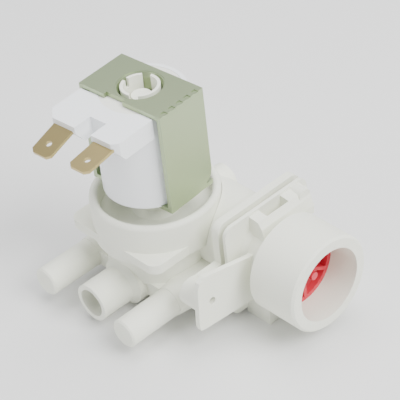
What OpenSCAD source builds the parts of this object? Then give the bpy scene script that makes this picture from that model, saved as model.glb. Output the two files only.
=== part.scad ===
// Solenoid-operated water inlet valve: threaded inlet along +X, outlet tube and
// two solid locating pins along -Y, solenoid on a vertical guide tube.
// Origin: on the rest plane, under the axis of the solenoid. Millimetres, +Z up.

/* [Seat and chamber] */
// Height of the cover flange's top face above the rest plane
seat_h = 21.7; // [21.3:0.1:22.4]
// Outer radius of the chamber wall
chamber_r = 14.6; // [14.5:0.05:14.9]
// Radius of the pocket that holds the diaphragm's bead
bead_r = 12.6; // [12.4:0.05:12.9]
// Radius of the annular inlet chamber
annulus_r = 11.2; // [10.8:0.1:11.4]
// Bore radius of the valve seat
seat_r = 3.3; // [3.1:0.05:3.5]

/* [Inlet] */
// Outer radius of the inlet thread (3/4 inch pipe thread, 26.44 mm across)
thread_r = 13.22; // [13.1:0.02:13.3]
// Distance of the inlet's mouth from the solenoid axis
mouth_x = 49.5; // [49:0.1:51]
// Distance of the thread's rear face from the solenoid axis
thread_x = 35; // [34.6:0.1:35.2]
// Bore radius of the inlet
inlet_r = 10.06; // [9.9:0.02:10.2]
// Depth of the inlet bore
inlet_depth = 12.5; // [12.3:0.1:12.8]
// Inlet axis, distance from the solenoid axis along Y
inlet_y = 11.3; // [11:0.1:11.6]
// Inlet axis, distance below the cover flange's top face
inlet_drop = 5; // [4.8:0.1:5.2]
// Radius of the neck between the mounting plates and the thread
neck_r = 8.4; // [8.2:0.1:8.8]
// Radius of the water passage in the neck
passage_r = 6.4; // [5.6:0.1:6.6]
// Radius of the duct behind the mounting plates
duct_r = 11.1; // [10.8:0.1:11.3]

/* [Mounting plates] */
// Width of both plates along Y
plate_w = 29.2; // [28.6:0.1:29.6]
// Height of both plates
plate_h = 28.3; // [27.8:0.1:28.6]
// Corner radius of both plates
plate_cr = 2.8; // [2:0.1:3.5]
// Rear face of the rear plate
plate_x = 22.3; // [22:0.1:22.5]
// Thickness of the rear plate
plate_a = 2.3; // [2.1:0.1:2.5]
// Slot between the plates, for the panel of the machine
slot_w = 1.6; // [1.4:0.1:1.8]
// Thickness of the front plate
plate_b = 1.0; // [0.9:0.1:1.2]
// Depth of the foot's underside below the front plate
foot_drop = 1.7; // [1.5:0.1:1.9]

/* [Screw tab] */
// Front face of the screw tab
tab_x = 30.5; // [30.2:0.1:30.8]
// Thickness of the screw tab
tab_t = 1.4; // [1.2:0.1:2.4]
// Radius of the screw pilot hole
pilot_hole_r = 1.0; // [0.9:0.05:1.4]
// Radius of the boss behind the screw tab
boss_r = 3.8; // [3.5:0.1:4]

/* [Outlet and pins] */
// Outer radius of the outlet tube
outlet_r = 5.24; // [5.1:0.02:5.4]
// Bore radius of the outlet tube
outlet_bore_r = 3.95; // [3.7:0.05:4.05]
// Reach of the outlet tube from the solenoid axis
outlet_end = 25.45; // [24.5:0.05:26.5]
// Outlet axis, distance below the cover flange's top face
outlet_drop = 14.42; // [14.3:0.02:14.5]
// Radius of the locating pins
pin_r = 3.95; // [3.8:0.05:4.1]
// Distance of each locating pin from the middle
pin_x = 15.27; // [15:0.01:15.6]
// Locating pin axis, distance below the cover flange's top face
pin_drop = 14.22; // [14.1:0.02:14.4]
// Reach of the locating pins from the solenoid axis
pin_end = 28.15; // [27:0.05:29]

/* [Cover] */
// Half the side of the square flange
flange_half = 16.44; // [16.2:0.02:16.6]
// Thickness of the square flange
flange_t = 2.65; // [2.5:0.05:2.8]
// Outer radius of the cup
cup_r = 17.1; // [16.9:0.05:17.2]
// Inner radius of the cup
cup_ri = 14.8; // [14.6:0.05:15]
// Height of the cup's rim
cup_h = 8; // [7.5:0.1:8.5]
// Height of the cup's floor
cup_floor = 2.4; // [2.2:0.1:2.8]
// Outer radius of the guide tube
tube_r = 5.1; // [5.05:0.01:5.12]
// Bore radius of the guide tube
tube_bore_r = 4.08; // [4.06:0.01:4.1]

/* [Solenoid] */
// Angle of the solenoid about its axis
coil_turn = 4.72; // [0:0.01:10]
// Radius of the coil's white case
coil_r = 12.3; // [12.1:0.05:12.32]
// Distance of the case's middle from the solenoid axis, towards the terminals
coil_dy = 0.8; // [0.6:0.05:0.9]
// Lowest edge of the coil's case
coil_z0 = 11.25; // [11:0.05:11.5]
// Top of the coil's case
coil_z1 = 38.2; // [38.1:0.05:38.25]
// Outer radius of the winding
wind_r = 10.4; // [10:0.1:10.6]

/* [Yoke] */
// Width of the yoke
yoke_w = 27.14; // [26.9:0.02:27.5]
// Depth of the yoke
yoke_d = 15.44; // [15:0.02:15.7]
// Top face of the yoke
yoke_z1 = 39.52; // [39.5:0.02:39.7]
// Underside of the yoke
yoke_z0 = 10.4; // [10.3:0.1:10.5]
// Thickness of the yoke's sheet
sheet = 1.2; // [1.1:0.05:1.25]
// Radius of the holes in the yoke
yoke_hole_r = 6.22; // [6.21:0.01:6.3]

/* [Terminals] */
// Width of the tab terminals
term_w = 6.3; // [6.2:0.05:6.4]
// Thickness of the tab terminals
term_t = 0.8; // [0.75:0.05:0.85]
// Top face of the tabs at their root
term_z = 36.8; // [36.6:0.1:37]
// Front face of the terminal block
block_y = 20.8; // [20.6:0.1:21]
// Underside of the terminal block
block_z0 = 32.8; // [32.4:0.1:33.2]
// Top of the terminal block
block_z1 = 38.3; // [38.2:0.05:38.4]

/* [Plunger] */
// Radius of the plunger
plunger_r = 4.0; // [3.98:0.01:4.02]
// Top of the plunger
plunger_z1 = 28; // [27:0.1:28.5]
// Radius of the return spring, to the wire's middle
spring_r = 1.55; // [1.4:0.05:1.6]
// Number of turns in the return spring
spring_turns = 9; // [6:1:10]

/* [Hidden] */
$fn = 64;

ivory = [0.93, 0.93, 0.84];
white = [0.93, 0.95, 0.97];
zinc = [0.42, 0.50, 0.30];
brass = [0.55, 0.46, 0.22];

inlet_z = -inlet_drop;
slot_x = plate_x + plate_a;
plate_bx = slot_x + slot_w;
plate_f = plate_bx + plate_b;              // front face of the front plate
plate_z = inlet_z - 0.8;                   // middle height of both plates
bottom_z = -seat_h;
joint_z = -3.4;                            // plane between body and cover
annulus_z = -8.6;
lift = 3.0;

// Everything below is drawn from the cover flange's top face
module seat() translate([0, 0, seat_h]) children();
module coil_frame() seat() rotate([0, 0, coil_turn]) children();
module along_x(x, y = 0, z = 0) translate([x, y, z]) rotate([0, 90, 0]) children();
module along_neg_y(x, y, z) translate([x, y, z]) rotate([90, 0, 0]) children();
module rounded(w, h, r) offset(r = r, $fn = 32) square([w - 2 * r, h - 2 * r], center = true);
// Rounded rectangle of exact arcs and flats
module slab(w, h, t, r) {
    linear_extrude(height = t) {
        square([w - 2 * r, h], center = true);
        square([w, h - 2 * r], center = true);
        for (sx = [-1, 1], sy = [-1, 1])
            translate([sx * (w / 2 - r), sy * (h / 2 - r)]) circle(r = r, $fn = 32);
    }
}
// A plate across X, centred at (y, z)
module x_plate(x, y, z, w, h, t, r) translate([x, y, z]) rotate([90, 0, 90]) slab(w, h, t, r);
// A profile in the X-Z plane, drawn out along +Y from y0 to y1
module xz_bar(y0, y1, pts) translate([0, y1, 0]) rotate([90, 0, 0]) linear_extrude(height = y1 - y0) polygon(pts);
// A profile in the Y-Z plane, drawn out along +X from x0 to x1
module yz_bar(x0, x1, pts) translate([x0, 0, 0]) rotate([90, 0, 90]) linear_extrude(height = x1 - x0) polygon(pts);

module cover_room() {
    translate([0, 0, joint_z - 0.2]) cylinder(r = chamber_r + 0.1, h = 30);
    translate([0, 0, -2.9]) cylinder(r = cup_r + 0.15, h = 30);
    translate([0, 0, -2.9]) slab(2 * flange_half + 0.3, 2 * flange_half + 0.3, 3.3, 3);
}

module locating_pin(x) {
    // pin with a small chamfer at its free end
    along_neg_y(x, -12.2, -pin_drop) cylinder(r = pin_r, h = pin_end - 12.2 - 0.4);
    along_neg_y(x, -(pin_end - 0.45), -pin_drop) cylinder(r1 = pin_r, r2 = pin_r - 0.45, h = 0.45);
}

module valve_body() seat() color(ivory) difference() {
    union() {
        difference() {
            union() {
                // duct behind the plates, with its rear end and hump
                along_x(0, inlet_y, inlet_z) cylinder(r = duct_r, h = plate_f - 0.5);
                along_neg_y(4.5, 20.6, 1) cylinder(r = 4.1, h = 9);
                // mounting plates
                x_plate(plate_x, inlet_y + 1.7, plate_z, plate_w, plate_h, plate_a, plate_cr);
                x_plate(plate_bx, inlet_y + 1.7, plate_z, plate_w, plate_h, plate_b, plate_cr);
            }
            cover_room();
        }
        // chamber wall and lower block
        translate([0, 0, -12.6]) cylinder(r = chamber_r, h = joint_z + 12.6);
        translate([-pin_x, -12.2, -16.7]) cube([2 * pin_x, 22, 4.6]);
        translate([0, 3, bottom_z]) cylinder(r = 10.5, h = seat_h - 12);
        // locating pins; the one beside the inlet widens towards the duct
        locating_pin(-pin_x);
        locating_pin(pin_x);
        along_neg_y(pin_x, 7, -pin_drop) cylinder(r1 = 6.25, r2 = 4.15, h = 19.3);
        along_neg_y(-pin_x, 2, -pin_drop) cylinder(r1 = 4.7, r2 = 4.15, h = 14.3);
        // outlet tube with its shoulder
        along_neg_y(0, -12, -outlet_drop) cylinder(r = outlet_r, h = outlet_end - 12);
        along_neg_y(0, 5, -outlet_drop) cylinder(r = 6.7, h = 19.4);
        along_neg_y(0, -14.3, -outlet_drop) cylinder(r1 = 6.7, r2 = outlet_r, h = 1.6);
        // neck and inlet barrel
        along_x(plate_f - 0.4, inlet_y, inlet_z) cylinder(r = neck_r, h = thread_x - plate_f + 1);
        along_x(plate_f - 0.2, inlet_y, inlet_z) cylinder(r1 = neck_r + 1.1, r2 = neck_r, h = 1.4);
        along_x(thread_x, inlet_y, inlet_z) cylinder(r = thread_r, h = mouth_x - thread_x - 0.6);
        along_x(mouth_x - 0.61, inlet_y, inlet_z) cylinder(r1 = thread_r, r2 = thread_r - 0.61, h = 0.61);
        // rib block on top of the neck, with its pocket and the bump at its far end
        difference() {
            union() {
                xz_bar(6.9, 24.8, [[plate_f - 0.3, 0.5], [plate_f - 0.3, 7.8], [30.3, 7.4], [31.5, 5.6], [32.2, 3], [32.2, 0.5]]);
                xz_bar(6.9, 15.5, [[plate_f - 0.3, -2], [plate_f - 0.3, 1], [32.2, 1], [32.2, -2]]);
                along_x(plate_f - 0.3, 22.9, 6.4) cylinder(r = 1.95, h = 4.2);
            }
            translate([plate_f, 10.3, 2.6]) cube([3.0, 7.7, 8]);
        }
        // foot under the neck, flush with the rear of the thread
        translate([plate_f - 0.3, 3.7, bottom_z]) cube([thread_x - plate_f + 0.3, 15.2, seat_h + inlet_z - 4]);
        // screw tab, and the boss behind it
        yz_bar(tab_x - tab_t, tab_x, [[-12.5, 2.6], [-14.3, 1.6], [-15.0, -0.4], [-15.7, -11.6], [-15.3, -12.9], [-13.9, -13.3], [3, -14.9], [7, -14.9], [7, -0.9], [3, -0.9]]);
        along_x(plate_x + 0.6, -11, -6.4) cylinder(r = boss_r, h = tab_x - tab_t - plate_x - 0.4);
        // bridge from the boss to the rear plate
        translate([plate_x, -11, -9.2]) cube([plate_a, 12, 5.6]);
    }
    // inlet bore and water passages
    along_x(mouth_x - inlet_depth, inlet_y, inlet_z) cylinder(r = inlet_r, h = inlet_depth + 1);
    along_x(18.6, inlet_y, inlet_z) cylinder(r = passage_r, h = mouth_x - 18.6 - inlet_depth + 0.5);
    translate([6, 2.6, annulus_z]) cube([14, 7.4, 3.0]);
    // annular chamber round the seat, and the pocket for the diaphragm's bead
    translate([0, 0, annulus_z]) difference() {
        cylinder(r = annulus_r, h = 8);
        translate([0, 0, -1]) cylinder(r = seat_r + 1.7, h = -4.4 - annulus_z + 1);
    }
    translate([0, 0, -5.4]) cylinder(r = bead_r, h = 4);
    // seat bore down to the outlet's bore
    translate([0, 0, -outlet_drop]) cylinder(r = seat_r, h = 14);
    along_neg_y(0, 3.4, -outlet_drop) cylinder(r = outlet_bore_r, h = outlet_end + 5);
    // screw pilot hole
    along_x(tab_x - 8, -10.7, -6) cylinder(r = pilot_hole_r, h = 9);
}

module cover() seat() color(ivory) difference() {
    union() {
        slab_z0 = -flange_t;
        translate([0, 0, slab_z0]) slab(2 * flange_half, 2 * flange_half, flange_t, 3);
        // cup with a rounded rim
        translate([0, 0, slab_z0]) rotate_extrude($fn = 96) {
            square([cup_r, flange_t + cup_floor]);
            translate([cup_ri, 0]) square([cup_r - cup_ri, flange_t + cup_h - (cup_r - cup_ri) / 2]);
            translate([(cup_r + cup_ri) / 2, flange_t + cup_h - (cup_r - cup_ri) / 2]) circle(r = (cup_r - cup_ri) / 2, $fn = 32);
        }
        // skirt of the cup on the outlet side
        intersection() {
            translate([0, 0, -4]) difference() {
                cylinder(r = cup_r, h = 2);
                translate([0, 0, -1]) cylinder(r = chamber_r + 0.6, h = 4);
            }
            translate([-9, -20, -5]) cube([18, 9, 4]);
        }
        // spigot that clamps the diaphragm
        translate([0, 0, joint_z]) cylinder(r = chamber_r - 0.1, h = 2);
        // guide tube
        cylinder(r = tube_r, h = 33.5);
        translate([0, 0, cup_floor - 0.1]) cylinder(r1 = tube_r + 1.6, r2 = tube_r, h = 1.7);
        translate([0, 0, 33]) cylinder(r = 2.6, h = 3.8);
        // slotted crown at the top of the tube
        difference() {
            translate([0, 0, 33.4]) cylinder(r = tube_r - 0.05, h = 6.3);
            translate([0, 0, 33.5]) cylinder(r = 4.25, h = 8);
            rotate([0, 0, 118]) translate([-8, -1.2, 34.4]) cube([16, 2.4, 8]);
            rotate([0, 0, 188]) translate([3, -0.6, 37.2]) cube([4, 1.2, 4]);
        }
    }
    // chamber over the diaphragm
    translate([0, 0, joint_z - 1]) cylinder(r = annulus_r - 0.2, h = 0.2 - joint_z + 1);
    // plunger bore and the narrower spring bore above it
    translate([0, 0, -1]) cylinder(r = tube_bore_r, h = 33.4);
    translate([0, 0, 30]) cylinder(r = 2.0, h = 5.8);
}

// Radial arm of the filter, from its middle to its rim
module filter_arm(a) along_x(0, 0, 0) rotate([0, 0, a]) translate([0, -0.5, 0]) cube([9.2, 1.0, 1.9]);

module inlet_filter() seat() color([0.72, 0.05, 0.10]) translate([mouth_x - 11.2, inlet_y, inlet_z]) {
    rotate([0, 90, 0]) rotate_extrude($fn = 96) {
        translate([8.7, 0]) square([1.25, 2.4]);
        translate([0.0, 0.6]) square([2.0, 2.2]);
    }
    for (a = [0 : 60 : 300]) translate([0.6, 0, 0]) filter_arm(a);
    // pull pin
    along_x(2.6, 0, 0) cylinder(r = 1.1, h = 3.6, $fn = 32);
}

module filter_mesh() seat() color([0.62, 0.10, 0.12])
    translate([mouth_x - 11.2, inlet_y, inlet_z]) along_x(0.1, 0, 0) cylinder(r = 8.65, h = 0.45, $fn = 96);

module flow_washer() seat() color([0.10, 0.10, 0.11]) along_x(mouth_x - inlet_depth - 0.9, inlet_y, inlet_z) difference() {
    cylinder(r = 5.6, h = 2.0);
    translate([0, 0, -1]) cylinder(r = 1.9, h = 4);
    translate([0, 0, 1.5]) cylinder(r1 = 1.9, r2 = 2.9, h = 0.6);
}

module regulator_seat() seat() color([0.90, 0.90, 0.86]) along_x(mouth_x - inlet_depth + 0.02, inlet_y, inlet_z) difference() {
    union() {
        cylinder(r = 9.9, h = 1.15);
        translate([0, 0, -2.2]) cylinder(r = 6.3, h = 2.4);
    }
    translate([0, 0, -0.95]) cylinder(r = 5.65, h = 3);
    for (a = [0 : 60 : 300]) rotate([0, 0, a]) translate([3.8, 0, -3]) cylinder(r = 0.9, h = 3, $fn = 32);
}

module diaphragm() seat() color([0.12, 0.12, 0.13]) difference() {
    union() {
        translate([0, 0, -4.4]) cylinder(r = bead_r - 0.05, h = 0.98);
        translate([0, 0, -5.38]) difference() {
            cylinder(r = bead_r - 0.05, h = 1.9);
            translate([0, 0, -1]) cylinder(r = annulus_r + 0.05, h = 4);
        }
    }
    translate([0, 0, -6]) cylinder(r = 2.2, h = 4);
    translate([8, 0, -6]) cylinder(r = 0.35, h = 4, $fn = 24);
}

module pilot_insert() seat() color([0.85, 0.85, 0.80]) difference() {
    union() {
        translate([0, 0, -3.4]) cylinder(r = 5.5, h = 0.8);
        translate([0, 0, -5.4]) cylinder(r = 2.15, h = 2.4);
        translate([0, 0, -5.3]) cylinder(r = 2.9, h = 0.88);
        for (a = [0 : 90 : 270]) rotate([0, 0, a]) translate([0.9, -0.4, -9]) cube([2.2, 0.8, 3.9]);
    }
    translate([0, 0, -10]) cylinder(r = 0.6, h = 9, $fn = 32);
}

module plunger() seat() color([0.62, 0.63, 0.65]) difference() {
    union() {
        translate([0, 0, -0.8]) cylinder(r = plunger_r, h = plunger_z1 + 0.4);
        translate([0, 0, -1.2]) cylinder(r1 = plunger_r - 0.4, r2 = plunger_r, h = 0.4);
        translate([0, 0, plunger_z1 - 0.4]) cylinder(r1 = plunger_r, r2 = plunger_r - 0.4, h = 0.4);
    }
    translate([0, 0, -2]) cylinder(r = 2.4, h = 2.4);
    translate([0, 0, 22]) cylinder(r = 2.1, h = 8);
}

module plunger_tip() seat() color([0.10, 0.10, 0.11]) translate([0, 0, -2.6]) {
    cylinder(r = 2.35, h = 2.96, $fn = 48);
}

// Return spring: a round wire swept along a helix whose end turns lie close
spring_sides = 6;
spring_seg = 12;
wire_r = 0.2;
spring_z0 = 22.25;
spring_z1 = 35.55;
function spring_s(t) = let (n = spring_turns) t < 1 ? t * 0.45 : t > n - 1 ? 1 * (spring_z1 - spring_z0) - (n - t) * 0.45
    : 0.45 + (t - 1) * (spring_z1 - spring_z0 - 0.9) / (n - 2);
function spring_p(i) = let (t = i / spring_seg) [spring_r * cos(360 * t), spring_r * sin(360 * t), spring_z0 + spring_s(t)];
module plunger_spring() seat() color([0.75, 0.76, 0.78]) {
    m = spring_turns * spring_seg;
    pts = [for (i = [0 : m], k = [0 : spring_sides - 1])
        let (t = 360 * i / spring_seg, p = spring_p(i), b = 360 * k / spring_sides)
            p + [wire_r * cos(b) * cos(t), wire_r * cos(b) * sin(t), wire_r * sin(b)]];
    faces = concat(
        [[for (k = [0 : spring_sides - 1]) k]],
        [for (i = [0 : m - 1], k = [0 : spring_sides - 1]) let (k2 = (k + 1) % spring_sides)
            [i * spring_sides + k, (i + 1) * spring_sides + k, (i + 1) * spring_sides + k2, i * spring_sides + k2]],
        [[for (k = [spring_sides - 1 : -1 : 0]) m * spring_sides + k]]);
    polyhedron(points = pts, faces = faces, convexity = 6);
}

// Plan of the two-lobed terminal block, in the coil's own axes
module block_plan(g = 0) difference() {
    polygon([[-12.9 - g, -7.9 + 0 * g], [-12.9 - g, 3 - block_y], [-9.9, -block_y - g], [9.6, -block_y - g], [11.1 + g, 1.5 - block_y], [11.1 + g, -7.9]]);
    translate([-2.4, -30]) square([5.4, 30 - 15.3]);
}
module terminal(x0, tip, drop, hole, g = 0) {
    a = atan2(drop, tip - block_y);
    translate([x0 - g, -block_y, term_z - term_t - g]) cube([term_w + 2 * g, 6 + g, term_t + 2 * g]);
    translate([x0, -block_y + 0.02, term_z]) rotate([a, 0, 0]) difference() {
        translate([0, 0, -term_t]) linear_extrude(height = term_t)
            polygon([[0, 0.3], [0, -(tip - block_y) / cos(a) + 1.0], [1.1, -(tip - block_y) / cos(a)], [term_w - 1.1, -(tip - block_y) / cos(a)],
                [term_w, -(tip - block_y) / cos(a) + 1.0], [term_w, 0.3]]);
        translate([term_w / 2, -hole, -term_t - 1]) cylinder(r = 0.85, h = 3, $fn = 32);
    }
}

module coil_case() coil_frame() color(white) difference() {
    union() {
        translate([0, -coil_dy, coil_z0]) cylinder(r = coil_r, h = coil_z1 - coil_z0, $fn = 96);
        // terminal block, cut back under its front edge
        intersection() {
            translate([0, 0, block_z0]) linear_extrude(height = block_z1 - block_z0) block_plan();
            yz_bar(-15, 15, [[-7.9, block_z0], [-18, block_z0], [-block_y - 0.1, term_z - 0.1], [-block_y - 0.1, block_z1], [-7.9, block_z1]]);
        }
        translate([-8, -9.5, block_z0]) cube([16, 4, coil_z1 - block_z0]);
        // tongue that holds the front edge of the yoke
        translate([-4.7, -8.8, 37]) cube([5.6, 1.9, 2.9]);
    }
    // bore for the winding
    translate([0, 0, yoke_z0 + sheet + 0.05]) cylinder(r = wind_r + 0.05, h = 40, $fn = 96);
    // room for the yoke
    translate([-15, -yoke_d / 2 - 0.12, 0]) cube([30, yoke_d + 0.24, yoke_z0 + sheet + 0.06]);
    translate([0, 0, -1]) cylinder(r = tube_r + 0.6, h = 14);
    for (s = [-1, 1]) translate([s * 13.9 - 1.6, -yoke_d / 2 - 0.12, 0]) cube([3.2, yoke_d + 0.24, 50]);
    terminal(-9.6, 29.6, 2.74, 5.5, 0.02);
    terminal(3.75, 29.9, 1.12, 5.5, 0.02);
}

module coil_winding() coil_frame() color([0.62, 0.30, 0.14]) translate([0, 0, 13.2]) difference() {
    cylinder(r = wind_r - 0.05, h = 23.1, $fn = 96);
    translate([0, 0, -1]) cylinder(r = 7.25, h = 26);
}

module bobbin() coil_frame() color([0.86, 0.86, 0.82]) difference() {
    union() {
        translate([0, 0, yoke_z0 + sheet + 0.08]) cylinder(r = wind_r, h = 1.4, $fn = 96);
        translate([0, 0, 36.4]) cylinder(r = wind_r, h = 1.75, $fn = 96);
        translate([0, 0, yoke_z0 + sheet + 0.08]) cylinder(r = 7.2, h = 26);
    }
    translate([0, 0, 5]) cylinder(r = 6.26, h = 40);
}

module upper_pole_bush() coil_frame() color(zinc) translate([0, 0, 33]) difference() {
    cylinder(r = 6.2, h = yoke_z1 - 33 - 0.1);
    translate([0, 0, -1]) cylinder(r = tube_r + 0.3, h = 10);
    translate([0, 0, 5.2]) cylinder(r1 = tube_r + 0.3, r2 = tube_r + 0.85, h = 1.4);
}

module lower_pole_bush() coil_frame() color(zinc) translate([0, 0, yoke_z0 + 0.1]) difference() {
    cylinder(r = 6.2, h = 7);
    translate([0, 0, -1]) cylinder(r = tube_r + 0.08, h = 10);
}

finger_n = 5;
finger_w = 1.3;
function finger_y(i) = -5.6 + i * 2.75;

module yoke_frame() coil_frame() color(zinc) difference() {
    union() {
        translate([-yoke_w / 2, -yoke_d / 2, yoke_z1 - sheet]) cube([yoke_w, yoke_d, sheet]);
        translate([-yoke_w / 2, -yoke_d / 2, yoke_z0]) cube([yoke_w - 0.0, yoke_d, sheet]);
        translate([-yoke_w / 2, -yoke_d / 2, yoke_z0]) cube([sheet, yoke_d, yoke_z1 - yoke_z0]);
    }
    translate([0, 0, -1]) cylinder(r = yoke_hole_r, h = 60);
    // notch for the tongue of the coil's case
    translate([-5, -yoke_d / 2 - 1, 30]) cube([6.2, 2.1, 15]);
    // gaps for the fingers of the side plate
    for (i = [0 : finger_n - 1]) translate([yoke_w / 2 - sheet - 0.03, finger_y(i) - finger_w / 2 - 0.03, 30]) cube([2, finger_w + 0.06, 15]);
    for (y = [-4, 4]) translate([yoke_w / 2 - sheet - 0.03, y - 1.33, 5]) cube([2, 2.66, 8]);
}

module yoke_plate() coil_frame() color(zinc) {
    x0 = yoke_w / 2 - sheet;
    z0 = yoke_z0 + sheet + 0.02;
    yz_bar(x0, yoke_w / 2, [[-yoke_d / 2, z0], [yoke_d / 2 - 2.4, z0], [yoke_d / 2 - 0.5, z0 + 1.6], [yoke_d / 2, z0 + 3.4], [yoke_d / 2, yoke_z1 - sheet - 0.02], [-yoke_d / 2, yoke_z1 - sheet - 0.02]]);
    for (i = [0 : finger_n - 1]) translate([x0, finger_y(i) - finger_w / 2, yoke_z1 - sheet - 0.1]) cube([sheet, finger_w, sheet - 0.15]);
    for (y = [-4, 4]) translate([x0, y - 1.3, yoke_z0 + 0.1]) cube([sheet, 2.6, sheet]);
}

module terminal_left() coil_frame() color(brass) terminal(-9.6, 29.6, 2.74, 5.5);
module terminal_right() coil_frame() color(brass) terminal(3.75, 29.9, 1.12, 5.5);

valve_body();
cover();
inlet_filter();
filter_mesh();
flow_washer();
regulator_seat();
diaphragm();
pilot_insert();
plunger();
plunger_tip();
plunger_spring();
coil_case();
coil_winding();
bobbin();
upper_pole_bush();
lower_pole_bush();
yoke_frame();
yoke_plate();
terminal_left();
terminal_right();
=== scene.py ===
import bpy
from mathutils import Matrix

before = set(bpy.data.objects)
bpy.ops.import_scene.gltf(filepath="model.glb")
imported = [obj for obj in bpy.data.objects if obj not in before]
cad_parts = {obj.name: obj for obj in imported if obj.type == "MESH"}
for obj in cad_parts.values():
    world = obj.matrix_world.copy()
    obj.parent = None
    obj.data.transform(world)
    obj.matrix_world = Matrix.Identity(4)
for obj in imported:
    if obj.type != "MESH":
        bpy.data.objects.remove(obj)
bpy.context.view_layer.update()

import math

import bpy
import numpy as np
from mathutils import Matrix, Vector

# ---------------------------------------------------------------- measures
# Millimetres, measured from the top face of the cover's flange (z = 0) and the
# solenoid's axis (x = y = 0). The row frame has its origin SEAT below that.
SEAT = 21.7
TURN = math.radians(4.72)          # the solenoid's turn about its axis
INLET_Y, INLET_Z = 11.3, -5.0
THREAD_X, MOUTH_X, THREAD_R, BORE_R, BORE_DEPTH = 35.0, 49.5, 13.22, 10.06, 12.5


def metres(p):
    p = np.asarray(p, float)
    return (p + np.array([0, 0, SEAT])) * 0.001


# ------------------------------------------------------------------ camera
def camera():
    az, el, roll = math.radians(50.307), math.radians(38.223), math.radians(-6.868)
    dist, target = 408.456, Vector((17.476, 0.0, 12.486))
    back = Vector((math.sin(az) * math.cos(el), -math.cos(az) * math.cos(el), math.sin(el)))
    right = Vector((math.cos(az), math.sin(az), 0))
    up = back.cross(right)
    r2 = math.cos(roll) * right + math.sin(roll) * up
    u2 = -math.sin(roll) * right + math.cos(roll) * up
    eye = target + back * dist
    cam = bpy.data.objects.new("camera", bpy.data.cameras.new("camera"))
    bpy.context.scene.collection.objects.link(cam)
    m = Matrix((
        (r2.x, u2.x, back.x, eye.x * 0.001),
        (r2.y, u2.y, back.y, eye.y * 0.001),
        (r2.z, u2.z, back.z, (eye.z + SEAT) * 0.001),
        (0, 0, 0, 1),
    ))
    cam.matrix_world = m
    cam.data.sensor_fit = "HORIZONTAL"
    cam.data.sensor_width = 36.0
    cam.data.lens = 4.04 * dist * 0.09
    cam.data.clip_start, cam.data.clip_end = 0.01, 20.0
    bpy.context.scene.camera = cam
    return cam


cam = camera()

# ------------------------------------------------------------------- stage
def stage():
    s = 3.0
    mesh = bpy.data.meshes.new("floor")
    mesh.from_pydata([(-s, -s, 0), (s, -s, 0), (s, s, 0), (-s, s, 0)], [], [(0, 1, 2, 3)])
    floor = bpy.data.objects.new("floor", mesh)
    bpy.context.scene.collection.objects.link(floor)
    floor.location = (0, 0, -0.00002)
    mat = bpy.data.materials.new("floor")
    mat.use_nodes = True
    b = mat.node_tree.nodes["Principled BSDF"]
    b.inputs["Base Color"].default_value = (0.80, 0.80, 0.79, 1)
    b.inputs["Roughness"].default_value = 0.75
    mesh.materials.append(mat)

    world = bpy.data.worlds.new("world")
    bpy.context.scene.world = world
    world.use_nodes = True
    bg = world.node_tree.nodes["Background"]
    bg.inputs["Color"].default_value = (0.93, 0.95, 1.0, 1)
    bg.inputs["Strength"].default_value = 0.55

    def area(name, loc, size, power, colour=(1, 1, 1)):
        light = bpy.data.lights.new(name, "AREA")
        light.shape = "RECTANGLE"
        light.size, light.size_y = size
        light.energy = power
        light.color = colour
        o = bpy.data.objects.new(name, light)
        bpy.context.scene.collection.objects.link(o)
        o.location = loc
        d = Vector((0.015, 0, 0.02)) - Vector(loc)
        o.rotation_mode = "QUATERNION"
        o.rotation_quaternion = d.to_track_quat("-Z", "Y")
        return o

    area("key", (0.55, 0.10, 0.60), (0.45, 0.45), 9.0)
    area("top", (-0.05, 0.15, 0.75), (0.6, 0.6), 6.0)
    area("fill", (-0.35, -0.65, 0.35), (0.5, 0.5), 2.4)


stage()
